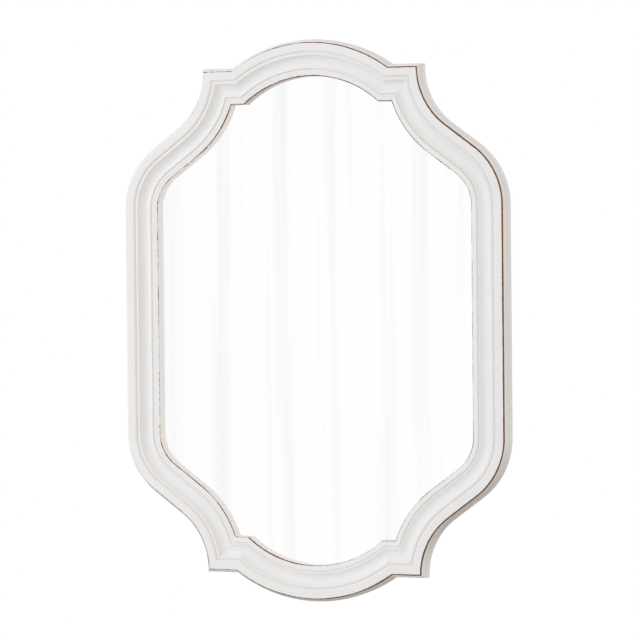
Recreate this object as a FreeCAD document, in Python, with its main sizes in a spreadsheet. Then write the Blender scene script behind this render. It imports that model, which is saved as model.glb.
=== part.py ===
import FreeCAD, Part
import math
import os
import Sketcher

Vector = FreeCAD.Vector

# Driving dimensions in millimetres, angles in degrees
sizes = {
    # outline of the frame
    "overall_width": 660,
    "overall_height": 914,
    "frame_depth": 33,
    # moulding, read from its outer edge inwards
    "side_flare": 5,
    "flare_depth": 16,
    "rear_round": 4,
    "arris_ease": 1.2,
    "band_width": 13.6,
    "outer_groove_width": 5.6,
    "outer_groove_fall": 2.6,
    "outer_groove_depth": 2.8,
    "cove_fillet_width": 1.5,
    "cove_width": 20.9,
    "cove_top_depth": 0.9,
    "cove_foot_depth": 5.2,
    "cove_hollow": 5,
    "inner_groove_width": 5,
    "inner_groove_fall": 2.2,
    "inner_groove_depth": 7.8,
    "inner_band_width": 7.9,
    "inner_band_depth": 6.2,
    "sight_depth": 7.3,
    "rebate_width": 8,
    # glass and backing
    "glass_thickness": 4,
    "glass_clearance": 1.5,
    "card_thickness": 3.3,
    "board_thickness": 3,
    "pad_length": 12,
    # biscuits in the mitres
    "biscuit_length": 30,
    "biscuit_width": 13,
    "biscuit_thickness": 4,
    "biscuit_inset": 22,
    "biscuit_front_depth": 17,
    "biscuit_clearance": 0.1,
    # turn buttons and their screws
    "button_reach": 22,
    "button_pivot_radius": 6.5,
    "button_tail_radius": 4,
    "button_thickness": 1.2,
    "button_play": 0.1,
    "button_setback": 8,
    "button_screw_radius": 1.75,
    "button_screw_length": 16,
    "button_screw_head_radius": 3.5,
    "button_screw_head_height": 2.2,
    # hangers and their screws
    "hanger_inset": 20,
    "strap_length": 50,
    "strap_thickness": 1.2,
    "strap_joggle": 7,
    "strap_end_round": 5,
    "wire_radius": 1.5,
    "ring_radius": 12,
    "ring_corner_radius": 3,
    "ring_centre_rise": 6,
    "ring_rest_gap": 0.1,
    "ring_side_play": 0.5,
    "hanger_screw_radius": 2,
    "hanger_screw_length": 18,
    "hanger_screw_head_radius": 3.8,
    "hanger_screw_head_height": 2.4,
    # bumpers
    "bumper_radius": 7,
    "bumper_height": 6,
    "bumper_edge_round": 1.5,
    "bumper_inset": 22,
    # shared allowances
    "pivot_clearance": 0.06,
    "screw_clearance": 0.05,
    "pilot_spare": 1,
    "cut_overrun": 4,
}

# Places that follow a larger size, each as a share of it
shares = {
    # of the half width and half height of the front edge
    "ledge_outer_share": 0.5655,
    "ledge_inner_share": 0.4135,
    "ledge_height_share": 0.9035,
    "straight_share": 0.4105,
    # of the radius at which the two shoulder curves would meet with no straight slope between them
    "shoulder_share": 0.95,
    # of the straight half of the side
    "button_side_share": 0.333,
    "hanger_height_share": 0.806,
    # of the half angle of the arch
    "button_arch_share": 0.47,
    # of the length of the strap
    "first_screw_share": 0.52,
    "second_screw_share": 0.84,
    # of the height and radius of a screw's head
    "head_rim_share": 0.33,
    "recess_depth_share": 0.55,
    "recess_arm_share": 0.58,
    "recess_slot_share": 0.15,
}

doc = FreeCAD.newDocument("ScallopedMirror")
sheet = doc.addObject("Spreadsheet::Sheet", "Sizes")
for row, (alias, number) in enumerate([*sizes.items(), *shares.items()], start=1):
    sheet.set("A%d" % row, alias.replace("_", " "))
    sheet.set("B%d" % row, str(number))
    sheet.setAlias("B%d" % row, alias)
doc.recompute()


# A size is a number that keeps the formula tying it to the sheet
class Size:
    def __init__(self, value, formula):
        self.value = value
        self.formula = formula

    def __add__(self, other):
        other = asSize(other)
        return Size(self.value + other.value, "(%s + %s)" % (self.formula, other.formula))

    def __sub__(self, other):
        other = asSize(other)
        return Size(self.value - other.value, "(%s - %s)" % (self.formula, other.formula))

    def __mul__(self, other):
        other = asSize(other)
        return Size(self.value * other.value, "%s * %s" % (self.formula, other.formula))

    def __truediv__(self, other):
        other = asSize(other)
        return Size(self.value / other.value, "(%s / (%s))" % (self.formula, other.formula))

    def __neg__(self):
        return Size(-self.value, "(-1 * %s)" % self.formula)

    def __rsub__(self, other):
        return asSize(other) - self

    __radd__ = __add__
    __rmul__ = __mul__


def asSize(number):
    return number if isinstance(number, Size) else Size(float(number), "%r" % number)


def squareRoot(size):
    return Size(math.sqrt(size.value), "sqrt(%s)" % size.formula)


def square(size):
    return Size(size.value ** 2, "(%s * %s)" % (size.formula, size.formula))


def hypotenuse(across, up):
    return squareRoot(square(across) + square(up))


def sine(angle):
    return Size(math.sin(math.radians(angle.value)), "sin(%s)" % angle.formula)


def cosine(angle):
    return Size(math.cos(math.radians(angle.value)), "cos(%s)" % angle.formula)


def angleOf(across, up):
    value = math.degrees(math.atan2(up.value, across.value))
    return Size(value, "atan2(%s; %s)" % (up.formula, across.formula))


def angleOfCosine(ratio):
    return Size(math.degrees(math.acos(ratio.value)), "acos(%s)" % ratio.formula)


def angleOfSine(ratio):
    return Size(math.degrees(math.asin(ratio.value)), "asin(%s)" % ratio.formula)


def fromSheet(alias):
    return Size(float(sheet.get(alias)), "Sizes.%s" % alias)


dim = {alias: fromSheet(alias) for alias in [*sizes, *shares]}
nought = asSize(0)
quarterTurn = Size(90.0, "90 deg")
halfTurn = Size(180.0, "180 deg")


def bind(thing, prop, size):
    thing.setExpression(prop, asSize(size).formula)


# Document helpers
def newBody(label):
    body = doc.addObject("PartDesign::Body", label)
    body.Label = label
    return body


def originFeature(body, role):
    return [feature for feature in body.Origin.OriginFeatures if feature.Role == role][0]


def newSketch(body, name, plane, offset=None):
    sketch = body.newObject("Sketcher::SketchObject", name)
    sketch.AttachmentSupport = [(originFeature(body, plane), "")]
    sketch.MapMode = "FlatFace"
    for axis, size in (offset or {}).items():
        bind(sketch, "AttachmentOffset.Base.%s" % axis, size)
    return sketch


def spot(corner):
    return Vector(corner[0].value, corner[1].value, 0)


# The middle of a short arc that bulges to the left (+1) or right (-1) of the way from start to end
def arcMiddle(start, end, radius, side):
    chord = end - start
    leftward = Vector(-chord.y, chord.x, 0).normalize()
    sagitta = radius - math.sqrt(max(radius ** 2 - (chord.Length / 2) ** 2, 0))
    return (start + end) / 2 + leftward * (side * sagitta)


def endOf(sketch, edge, corner):
    near = sketch.getPoint(edge, 1).distanceToPoint(corner)
    far = sketch.getPoint(edge, 2).distanceToPoint(corner)
    return 1 if near < far else 2


# Draws lines and arcs through the corners, and ties every corner and radius to the sheet
def drawOutline(sketch, corners, arcs, closed=True):
    points = [spot(corner) for corner in corners]
    count = len(points) if closed else len(points) - 1
    edges = []
    for i in range(count):
        start, end = points[i], points[(i + 1) % len(points)]
        shape = Part.LineSegment(start, end)
        if i in arcs:
            radius, side = arcs[i]
            shape = Part.Arc(start, arcMiddle(start, end, radius.value, side), end)
        edges.append(sketch.addGeometry(shape))
    for i, edge in enumerate(edges):
        here = endOf(sketch, edge, points[i])
        ties = [("DistanceX", here, corners[i][0]), ("DistanceY", here, corners[i][1])]
        if not closed and i == count - 1:
            ties += [("DistanceX", 3 - here, corners[i + 1][0]), ("DistanceY", 3 - here, corners[i + 1][1])]
        for kind, end, size in ties:
            tie = sketch.addConstraint(Sketcher.Constraint(kind, edge, end, size.value))
            bind(sketch, "Constraints[%d]" % tie, size)
        if i in arcs:
            tie = sketch.addConstraint(Sketcher.Constraint("Radius", edge, arcs[i][0].value))
            bind(sketch, "Constraints[%d]" % tie, arcs[i][0])
        if closed or i < count - 1:
            after = edges[(i + 1) % count]
            there = endOf(sketch, after, points[(i + 1) % len(points)])
            sketch.addConstraint(Sketcher.Constraint("Coincident", edge, 3 - here, after, there))
    return sketch


def drawCircle(sketch, across, up, radius):
    circle = sketch.addGeometry(Part.Circle(spot((across, up)), Vector(0, 0, 1), radius.value))
    for kind, where, size in (("DistanceX", (circle, 3), across), ("DistanceY", (circle, 3), up),
                              ("Radius", (circle,), radius)):
        tie = sketch.addConstraint(Sketcher.Constraint(kind, *where, size.value))
        bind(sketch, "Constraints[%d]" % tie, size)
    return sketch


def pad(body, sketch, length, both=False):
    feature = body.newObject("PartDesign::Pad", "pad")
    feature.Profile = sketch
    feature.SideType = "Symmetric" if both else "One side"
    bind(feature, "Length", length)
    return feature


def pocketThrough(body, sketch):
    feature = body.newObject("PartDesign::Pocket", "cut")
    feature.Profile = sketch
    feature.Type = "ThroughAll"
    feature.SideType = "Symmetric"
    return feature


# A cut from the sketch plane towards the face of the mirror
def pocketForward(body, sketch, length):
    feature = body.newObject("PartDesign::Pocket", "cut")
    feature.Profile = sketch
    feature.Reversed = True
    bind(feature, "Length", length)
    return feature


def revolve(body, sketch, angle=None):
    feature = body.newObject("PartDesign::Revolution", "turned")
    feature.Profile = sketch
    feature.ReferenceAxis = (sketch, ["H_Axis"])
    if angle:
        bind(feature, "Angle", angle)
    return feature


def mirrored(body, plane):
    doc.recompute()
    feature = body.newObject("PartDesign::Mirrored", "mirrored")
    feature.TransformMode = "Whole shape"
    feature.MirrorPlane = (originFeature(body, plane), [""])
    body.Tip = feature
    return feature


def mirrorCopy(source, label, normal):
    copy = doc.addObject("Part::Mirroring", label)
    copy.Label = label
    copy.Source = source
    copy.Normal = normal
    return copy


def place(thing, across, back, up, prop="Placement"):
    for axis, size in (("x", across), ("y", back), ("z", up)):
        bind(thing, "%s.Base.%s" % (prop, axis), size)


def turn(thing, axis, angle, prop="Placement"):
    setattr(thing, prop, FreeCAD.Placement(Vector(), FreeCAD.Rotation(axis, angle.value)))
    bind(thing, "%s.Rotation.Angle" % prop, angle)


def group(label, members):
    compound = doc.addObject("Part::Compound", label)
    compound.Label = label
    compound.Links = members
    return compound


acrossNormal = Vector(1, 0, 0)
upNormal = Vector(0, 0, 1)

# Depths from the front of the moulding to the wall, with the origin half way
totalDepth = dim["frame_depth"] + dim["bumper_height"]
frontPlane = -(totalDepth / 2)
backPlane = frontPlane + dim["frame_depth"]
rebateFloor = dim["frame_depth"] - dim["board_thickness"] - 2 * dim["card_thickness"] - dim["glass_thickness"]

# The outline of the front outer edge, one quarter
frontHalfWidth = dim["overall_width"] / 2 - dim["side_flare"]
frontHalfHeight = dim["overall_height"] / 2 - dim["side_flare"]
ledgeOuterHalf = frontHalfWidth * dim["ledge_outer_share"]
ledgeInnerHalf = frontHalfWidth * dim["ledge_inner_share"]
ledgeHeight = frontHalfHeight * dim["ledge_height_share"]
straightHalf = frontHalfHeight * dim["straight_share"]
archRise = frontHalfHeight - ledgeHeight
archRadius = (square(ledgeInnerHalf) + square(archRise)) / (2 * archRise)
archCentreUp = frontHalfHeight - archRadius
archHalfAngle = angleOf(ledgeHeight - archCentreUp, ledgeInnerHalf)
shoulderAcross = frontHalfWidth - ledgeOuterHalf
shoulderUp = ledgeHeight - straightHalf
shoulderRadius = dim["shoulder_share"] * (square(shoulderAcross) + square(shoulderUp)) / (4 * shoulderAcross)
hollowCentre = (ledgeOuterHalf + shoulderRadius, ledgeHeight)
roundCentre = (frontHalfWidth - shoulderRadius, straightHalf)
centresAcross = hollowCentre[0] - roundCentre[0]
centresUp = hollowCentre[1] - roundCentre[1]
slopeAngle = (angleOf(centresAcross, centresUp)
              - angleOfCosine(2 * shoulderRadius / hypotenuse(centresAcross, centresUp)))

grooveEnd = dim["band_width"] + dim["outer_groove_width"]
coveStart = grooveEnd + dim["cove_fillet_width"]
coveEnd = coveStart + dim["cove_width"]
innerGrooveEnd = coveEnd + dim["inner_groove_width"]
mouldingWidth = innerGrooveEnd + dim["inner_band_width"]
rebateWall = mouldingWidth - dim["rebate_width"]
buttonInset = rebateWall - dim["button_setback"]


# The shoulder at an inset from the front edge, upwards from the straight side
def shoulderCorners(inset):
    roundOut = shoulderRadius - inset
    hollowIn = shoulderRadius + inset
    across, up = cosine(slopeAngle), sine(slopeAngle)
    foot = (frontHalfWidth - inset, straightHalf)
    slopeFoot = (roundCentre[0] + roundOut * across, roundCentre[1] + roundOut * up)
    slopeHead = (hollowCentre[0] - hollowIn * across, hollowCentre[1] - hollowIn * up)
    return foot, slopeFoot, slopeHead


# The mitre between arch and ledge, and the one between ledge and shoulder, at an inset from the front edge
def archMitre(inset):
    up = ledgeHeight - inset
    return squareRoot(square(archRadius - inset) - square(up - archCentreUp)), up


def shoulderMitre(inset):
    up = ledgeHeight - inset
    return hollowCentre[0] - squareRoot(square(shoulderRadius + inset) - square(inset)), up


# The closed outline of one quarter of a plate that sits in the rebate
def quarterPlate(sketch, inset):
    foot, slopeFoot, slopeHead = shoulderCorners(inset)
    corners = [(nought, nought), (frontHalfWidth - inset, nought), foot, slopeFoot, slopeHead,
               shoulderMitre(inset), archMitre(inset), (nought, frontHalfHeight - inset)]
    arcs = {2: (shoulderRadius - inset, -1),
            4: (shoulderRadius + inset, 1),
            6: (archRadius - inset, -1)}
    return drawOutline(sketch, corners, arcs)


# The section of the moulding: inset from the front edge, and depth behind the front
def mouldingSection():
    ease = dim["arris_ease"]
    flareRun = dim["flare_depth"] - ease
    flareRadius = (square(dim["side_flare"]) + square(flareRun)) / (2 * dim["side_flare"])
    coveChord = hypotenuse(dim["cove_width"], dim["cove_foot_depth"] - dim["cove_top_depth"])
    coveRadius = (square(coveChord / 2) + square(dim["cove_hollow"])) / (2 * dim["cove_hollow"])
    corners = [(ease, nought),
               (dim["band_width"], nought),
               (dim["band_width"] + dim["outer_groove_fall"], dim["outer_groove_depth"]),
               (grooveEnd, dim["cove_top_depth"]),
               (coveStart, dim["cove_top_depth"]),
               (coveEnd, dim["cove_foot_depth"]),
               (coveEnd + dim["inner_groove_fall"], dim["inner_groove_depth"]),
               (innerGrooveEnd, dim["inner_band_depth"]),
               (mouldingWidth - ease, dim["sight_depth"]),
               (mouldingWidth, dim["sight_depth"] + ease),
               (mouldingWidth, rebateFloor),
               (rebateWall, rebateFloor),
               (rebateWall, dim["frame_depth"]),
               (dim["rear_round"] - dim["side_flare"], dim["frame_depth"]),
               (-dim["side_flare"], dim["frame_depth"] - dim["rear_round"]),
               (-dim["side_flare"], dim["flare_depth"]),
               (nought, ease)]
    cove, rear, flare = (coveRadius, 1), (dim["rear_round"], -1), (flareRadius, -1)
    return corners, {4: cove, 13: rear, 15: flare}


section, sectionArcs = mouldingSection()


# The section drawn with depth across the sheet and inset downwards from a height, or inwards from a side
def drawSectionBelow(sketch, height):
    corners = [(frontPlane + depth, height - inset) for inset, depth in section]
    return drawOutline(sketch, corners, sectionArcs)


def drawSectionInside(sketch, side):
    corners = [(side - inset, frontPlane + depth) for inset, depth in section]
    arcs = {edge: (radius, -hand) for edge, (radius, hand) in sectionArcs.items()}
    return drawOutline(sketch, corners, arcs)


# Mitre cuts: what lies on one side of the mitre curve is cut away, as far as an edge across
mitreStart = -(dim["side_flare"] + 3 * dim["cut_overrun"])
mitreEnd = mouldingWidth + dim["cut_overrun"]


def arcRadius(start, middle, end):
    sideA = hypotenuse(middle[0] - start[0], middle[1] - start[1])
    sideB = hypotenuse(end[0] - middle[0], end[1] - middle[1])
    sideC = hypotenuse(end[0] - start[0], end[1] - start[1])
    twiceArea = ((middle[0] - start[0]) * (end[1] - start[1])
                 - (end[0] - start[0]) * (middle[1] - start[1]))
    return sideA * sideB * sideC / (2 * squareRoot(square(twiceArea)))


def mitreCut(body, mitre, edgeAcross):
    start, middle, end = [mitre(inset) for inset in (mitreStart, (mitreStart + mitreEnd) / 2, mitreEnd)]
    chord = spot(end) - spot(start)
    bend = spot(middle) - spot(start)
    side = 1 if chord.x * bend.y - chord.y * bend.x > 0 else -1
    corners = [start, end, (edgeAcross, end[1]), (edgeAcross, start[1])]
    sketch = newSketch(body, "mitre", "XZ_Plane")
    return pocketThrough(body, drawOutline(sketch, corners, {0: (arcRadius(start, middle, end), side)}))


# A biscuit lies along its mitre, its round ends inside the moulding
def drawBiscuit(sketch, mitre, spare):
    centre = mitre(dim["biscuit_inset"])
    outer = mitre(nought)
    inner = mitre(mouldingWidth)
    run = hypotenuse(inner[0] - outer[0], inner[1] - outer[1])
    along = ((inner[0] - outer[0]) / run, (inner[1] - outer[1]) / run)
    endRadius = dim["biscuit_width"] / 2 + spare
    straight = dim["biscuit_length"] / 2 - dim["biscuit_width"] / 2

    def corner(forth, aside):
        return (centre[0] + along[0] * forth - along[1] * aside,
                centre[1] + along[1] * forth + along[0] * aside)

    end = straight + endRadius
    corners = [corner(-straight, -endRadius), corner(straight, -endRadius), corner(end, nought),
               corner(straight, endRadius), corner(-straight, endRadius), corner(-end, nought)]
    return drawOutline(sketch, corners, {quarter: (endRadius, -1) for quarter in (1, 2, 4, 5)})


biscuitPlane = frontPlane + dim["biscuit_front_depth"]


def biscuitSlot(body, mitre):
    spare = dim["biscuit_clearance"]
    backEnd = biscuitPlane + dim["biscuit_thickness"] + spare
    sketch = newSketch(body, "slot", "XZ_Plane", {"z": -backEnd})
    return pocketForward(body, drawBiscuit(sketch, mitre, spare), dim["biscuit_thickness"] + 2 * spare)


# Pilot holes for screws, drilled from the back of the frame
def pilotHoles(body, places, radius, length):
    sketch = newSketch(body, "pilot", "XZ_Plane", {"z": -backPlane})
    for across, up in places:
        drawCircle(sketch, across, up, radius + dim["screw_clearance"])
    return pocketForward(body, sketch, length + dim["pilot_spare"])


# Where the turn buttons and hangers are fixed, in the upper right quarter
buttonAngle = archHalfAngle * dim["button_arch_share"]
archButton = ((archRadius - buttonInset) * sine(buttonAngle),
              archCentreUp + (archRadius - buttonInset) * cosine(buttonAngle))
sideButton = (frontHalfWidth - buttonInset, straightHalf * dim["button_side_share"])
hangerAcross = frontHalfWidth - dim["hanger_inset"]
hangerUp = straightHalf * dim["hanger_height_share"]
strapScrewDrops = [dim["strap_length"] * dim[share] for share in ("first_screw_share", "second_screw_share")]
strapScrewPlaces = [(hangerAcross, hangerUp - drop) for drop in strapScrewDrops]


# Frame: the arched head, turned about the centre of its curve and mitred at both ends
def makeArch():
    body = newBody("top_arch")
    sketch = newSketch(body, "section", "YZ_Plane", {"y": archCentreUp})
    drawSectionBelow(sketch, archRadius)
    tip = archMitre(mitreEnd)
    revolve(body, sketch, angleOf(tip[1] - archCentreUp, tip[0]))
    mitreCut(body, archMitre, archRadius)
    biscuitSlot(body, archMitre)
    mirrored(body, "YZ_Plane")
    pilotHoles(body, [archButton, (-archButton[0], archButton[1])],
               dim["button_screw_radius"], dim["button_screw_length"])
    return body


# Frame: the level return between arch and shoulder
def makeLedge():
    body = newBody("upper_right_ledge")
    sketch = newSketch(body, "section", "YZ_Plane")
    drawSectionBelow(sketch, ledgeHeight)
    pad(body, sketch, ledgeOuterHalf + dim["side_flare"] + dim["cut_overrun"])
    mitreCut(body, archMitre, -dim["cut_overrun"])
    mitreCut(body, shoulderMitre, shoulderMitre(mitreStart)[0] + dim["cut_overrun"])
    biscuitSlot(body, archMitre)
    biscuitSlot(body, shoulderMitre)
    return body


# Frame: the long run, swept along the straight side, the shoulder's round, its slope and its hollow
def makeStile():
    body = newBody("right_stile")
    foot, slopeFoot, slopeHead = shoulderCorners(nought)
    spare = dim["side_flare"] + dim["cut_overrun"]
    head = (hollowCentre[0] - squareRoot(square(shoulderRadius) - square(spare)), hollowCentre[1] + spare)
    path = newSketch(body, "path", "XZ_Plane")
    drawOutline(path, [(frontHalfWidth, nought), foot, slopeFoot, slopeHead, head],
                {1: (shoulderRadius, -1), 3: (shoulderRadius, 1)}, closed=False)
    profile = newSketch(body, "section", "XY_Plane")
    drawSectionInside(profile, frontHalfWidth)
    sweep = body.newObject("PartDesign::AdditivePipe", "run")
    sweep.Profile = profile
    sweep.Spine = path
    mitreCut(body, shoulderMitre, ledgeOuterHalf - mitreEnd - dim["cut_overrun"])
    biscuitSlot(body, shoulderMitre)
    mirrored(body, "XY_Plane")
    pilotHoles(body, [sideButton, (sideButton[0], -sideButton[1])],
               dim["button_screw_radius"], dim["button_screw_length"])
    pilotHoles(body, strapScrewPlaces, dim["hanger_screw_radius"], dim["hanger_screw_length"])
    return body


topArch = makeArch()
rightLedge = makeLedge()
rightStile = makeStile()
leftLedge = mirrorCopy(rightLedge, "upper_left_ledge", acrossNormal)
pieces = [topArch, rightLedge, rightStile, leftLedge,
          mirrorCopy(topArch, "bottom_arch", upNormal),
          mirrorCopy(rightStile, "left_stile", acrossNormal),
          mirrorCopy(rightLedge, "lower_right_ledge", upNormal),
          mirrorCopy(leftLedge, "lower_left_ledge", upNormal)]


# Biscuits: one in each of the eight mitres
def makeBiscuits():
    members = []
    for name, mitre in (("arch_biscuit", archMitre), ("shoulder_biscuit", shoulderMitre)):
        body = newBody(name)
        sketch = newSketch(body, "outline", "XZ_Plane", {"z": -(biscuitPlane + dim["biscuit_thickness"])})
        pad(body, drawBiscuit(sketch, mitre, nought), dim["biscuit_thickness"])
        left = mirrorCopy(body, name + "_left", acrossNormal)
        members += [body, left]
        members += [mirrorCopy(body, name + "_low", upNormal), mirrorCopy(left, name + "_low_left", upNormal)]
    return group("mitre_biscuits", members)


pieces.append(makeBiscuits())


# Glass, packing and board: plates of one outline, laid one behind the other in the rebate
def makePlate(label, depth, thickness):
    body = newBody(label)
    sketch = newSketch(body, "outline", "XZ_Plane", {"z": -(frontPlane + depth + thickness)})
    pad(body, quarterPlate(sketch, rebateWall + dim["glass_clearance"]), thickness)
    mirrored(body, "YZ_Plane")
    mirrored(body, "XY_Plane")
    return body


frontCard = rebateFloor + dim["glass_thickness"]
rearCard = frontCard + dim["card_thickness"]
boardFront = rearCard + dim["card_thickness"]
pieces += [makePlate("mirror_glass", rebateFloor, dim["glass_thickness"]),
           makePlate("front_packing_card", frontCard, dim["card_thickness"]),
           makePlate("rear_packing_card", rearCard, dim["card_thickness"]),
           makePlate("backing_board", boardFront, dim["board_thickness"])]


# Setting pads: they fill the clearance under the glass on the two lower ledges
def makePads():
    near, far = archMitre(rebateWall), shoulderMitre(rebateWall)
    middle = (near[0] + far[0]) / 2
    members = []
    for name, centre in (("right_pad", middle), ("left_pad", -middle)):
        box = doc.addObject("Part::Box", name)
        bind(box, "Length", dim["pad_length"])
        bind(box, "Width", dim["glass_thickness"])
        bind(box, "Height", dim["glass_clearance"])
        place(box, centre - dim["pad_length"] / 2, frontPlane + rebateFloor, -near[1])
        members.append(box)
    return group("setting_pads", members)


pieces.append(makePads())


# A pan-headed wood screw, its head seated at zero depth and its point towards the front
def makeScrew(label, radius, length, headRadius, headHeight):
    body = newBody(label)
    rim = headHeight * dim["head_rim_share"]
    rise = headHeight - rim
    dome = (square(headRadius) + square(rise)) / (2 * rise)
    corners = [(-length, nought), (-(length - 2 * radius), radius), (nought, radius), (nought, headRadius),
               (rim, headRadius), (headHeight, nought)]
    revolve(body, drawOutline(newSketch(body, "section", "YZ_Plane"), corners, {4: (dome, 1)}))
    arm, slot = headRadius * dim["recess_arm_share"], headRadius * dim["recess_slot_share"]
    cross = newSketch(body, "recess", "XZ_Plane", {"z": -headHeight})
    crossCorners = [(arm, -slot), (arm, slot), (slot, slot), (slot, arm), (-slot, arm), (-slot, slot),
                    (-arm, slot), (-arm, -slot), (-slot, -slot), (-slot, -arm), (slot, -arm), (slot, -slot)]
    pocketForward(body, drawOutline(cross, crossCorners, {}), headHeight * dim["recess_depth_share"])
    return body


# Turn buttons: a flat pear-shaped plate with a hole at its round end, its tail hanging straight down
def makeButton(label):
    body = newBody(label)
    big, small, reach = dim["button_pivot_radius"], dim["button_tail_radius"], dim["button_reach"]
    lean = angleOfSine((big - small) / reach)
    across, up = cosine(lean), sine(lean)
    corners = [(big * across, -big * up), (-big * across, -big * up),
               (-small * across, -reach - small * up), (small * across, -reach - small * up)]
    sketch = newSketch(body, "outline", "XZ_Plane", {"z": -(dim["button_play"] + dim["button_thickness"])})
    top, tail = (Vector(0, big.value, 0), big), (Vector(0, -(reach + small).value, 0), small)
    drawPear(sketch, corners, top, tail)
    drawCircle(sketch, nought, nought, dim["button_screw_radius"] + dim["pivot_clearance"])
    pad(body, sketch, dim["button_thickness"])
    return body


# Two round ends, the larger of more than half a circle, joined by the straight flanks that touch both
def drawPear(sketch, corners, top, tail):
    points = [spot(corner) for corner in corners]
    shapes = [Part.Arc(points[0], top[0], points[1]), Part.LineSegment(points[1], points[2]),
              Part.Arc(points[2], tail[0], points[3]), Part.LineSegment(points[3], points[0])]
    edges = [sketch.addGeometry(shape) for shape in shapes]
    for i, edge in enumerate(edges):
        here = endOf(sketch, edge, points[i])
        for kind, size in (("DistanceX", corners[i][0]), ("DistanceY", corners[i][1])):
            tie = sketch.addConstraint(Sketcher.Constraint(kind, edge, here, size.value))
            bind(sketch, "Constraints[%d]" % tie, size)
        after = edges[(i + 1) % len(edges)]
        there = endOf(sketch, after, points[(i + 1) % len(points)])
        sketch.addConstraint(Sketcher.Constraint("Coincident", edge, 3 - here, after, there))
    for edge, radius in ((edges[0], top[1]), (edges[2], tail[1])):
        tie = sketch.addConstraint(Sketcher.Constraint("Radius", edge, radius.value))
        bind(sketch, "Constraints[%d]" % tie, radius)


# Every button's place, and the turn about the depth axis that points its tail at the glass
def buttonPlaces():
    quarters = {"top_%s": (archButton[0], archButton[1], buttonAngle),
                "%s_upper": (sideButton[0], sideButton[1], quarterTurn),
                "%s_lower": (sideButton[0], -sideButton[1], quarterTurn),
                "bottom_%s": (archButton[0], -archButton[1], halfTurn - buttonAngle)}
    for hand, sign in (("left", -1), ("right", 1)):
        for name, (across, up, angle) in quarters.items():
            yield name % hand, sign * across, up, Vector(0, sign, 0), angle


buttonScrew = makeScrew("turn_button_screw", dim["button_screw_radius"], dim["button_screw_length"],
                        dim["button_screw_head_radius"], dim["button_screw_head_height"])
buttonHeadSeat = backPlane + dim["button_thickness"] + 2 * dim["button_play"]
buttonScrews = []
for name, across, up, axis, angle in buttonPlaces():
    button = makeButton(name + "_turn_button")
    turn(button, axis, angle)
    place(button, across, backPlane, up)
    pieces.append(button)
    screw = doc.addObject("App::Link", name + "_screw")
    screw.LinkedObject = buttonScrew
    place(screw, across, buttonHeadSeat, up, "LinkPlacement")
    buttonScrews.append(screw)
pieces.append(group("turn_button_screws", buttonScrews))

# Hangers: the strap's fold and the ring's straight side share one level axis
foldBore = dim["wire_radius"] + dim["pivot_clearance"]
foldRadius = foldBore + dim["strap_thickness"]
strapDouble = 2 * dim["strap_thickness"] - foldRadius
ringStraight = squareRoot(square(dim["ring_radius"] - dim["ring_corner_radius"])
                          - square(dim["ring_centre_rise"] - dim["ring_corner_radius"]))
strapWidth = 2 * (ringStraight - dim["ring_side_play"])


# A steel strip folded double round the ring, with its two ends screwed down together
def makeStrap(label):
    body = newBody(label)
    end = -dim["strap_length"]
    corners = [(-foldRadius, end), (-foldRadius, nought), (nought, foldRadius), (foldRadius, nought),
               (strapDouble, -dim["strap_joggle"]), (strapDouble, end)]
    fold = {1: (foldRadius, 1), 2: (foldRadius, 1)}
    sketch = drawOutline(newSketch(body, "section", "YZ_Plane"), corners, fold)
    pad(body, sketch, strapWidth, both=True)
    pocketThrough(body, drawCircle(newSketch(body, "fold", "YZ_Plane"), nought, nought, foldBore))
    holes = newSketch(body, "screw_holes", "XZ_Plane")
    for drop in strapScrewDrops:
        drawCircle(holes, nought, -drop, dim["hanger_screw_radius"] + dim["screw_clearance"])
    solid = pocketThrough(body, holes)
    doc.recompute()
    lowest = solid.Shape.BoundBox.ZMin + dim["strap_thickness"].value
    corners = ["Edge%d" % (i + 1) for i, edge in enumerate(solid.Shape.Edges)
               if edge.BoundBox.ZMax < lowest and edge.BoundBox.YLength > edge.BoundBox.XLength]
    fillet = body.newObject("PartDesign::Fillet", "round_end")
    fillet.Base = (solid, corners)
    bind(fillet, "Radius", dim["strap_end_round"])
    return body


# A wire bent to a D: the straight side, two small corners and one wide bow
def makeRing(label):
    body = newBody(label)
    bow, corner, rise = dim["ring_radius"], dim["ring_corner_radius"], dim["ring_centre_rise"]
    stretch = bow / (bow - corner)
    meet = (ringStraight * stretch, rise + (corner - rise) * stretch)
    path = newSketch(body, "path", "XZ_Plane")
    side = (bow, rise)
    drawOutline(path, [(nought, nought), (ringStraight, nought), meet, side, (nought, rise + bow)],
                {1: (corner, -1), 2: (bow, -1), 3: (bow, -1)}, closed=False)
    wire = drawCircle(newSketch(body, "wire", "YZ_Plane"), nought, nought, dim["wire_radius"])
    sweep = body.newObject("PartDesign::AdditivePipe", "bent_wire")
    sweep.Profile = wire
    sweep.Spine = path
    mirrored(body, "YZ_Plane")
    return body


ringLean = angleOfSine((foldRadius - dim["wire_radius"] - dim["ring_rest_gap"])
                       / (dim["ring_radius"] + dim["ring_centre_rise"]))
hangerScrew = makeScrew("hanger_screw", dim["hanger_screw_radius"], dim["hanger_screw_length"],
                        dim["hanger_screw_head_radius"], dim["hanger_screw_head_height"])
hangerScrews = []
for hand, across in (("left", -hangerAcross), ("right", hangerAcross)):
    strap = makeStrap(hand + "_hanger_strap")
    place(strap, across, backPlane + foldRadius, hangerUp)
    ring = makeRing(hand + "_hanger_ring")
    turn(ring, acrossNormal, ringLean)
    place(ring, across, backPlane + foldRadius, hangerUp)
    pieces += [strap, ring]
    for number, drop in enumerate(strapScrewDrops, start=1):
        screw = doc.addObject("App::Link", "%s_hanger_screw_%d" % (hand, number))
        screw.LinkedObject = hangerScrew
        place(screw, across, backPlane + 2 * dim["strap_thickness"], hangerUp - drop, "LinkPlacement")
        hangerScrews.append(screw)
pieces.append(group("hanger_screws", hangerScrews))


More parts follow.
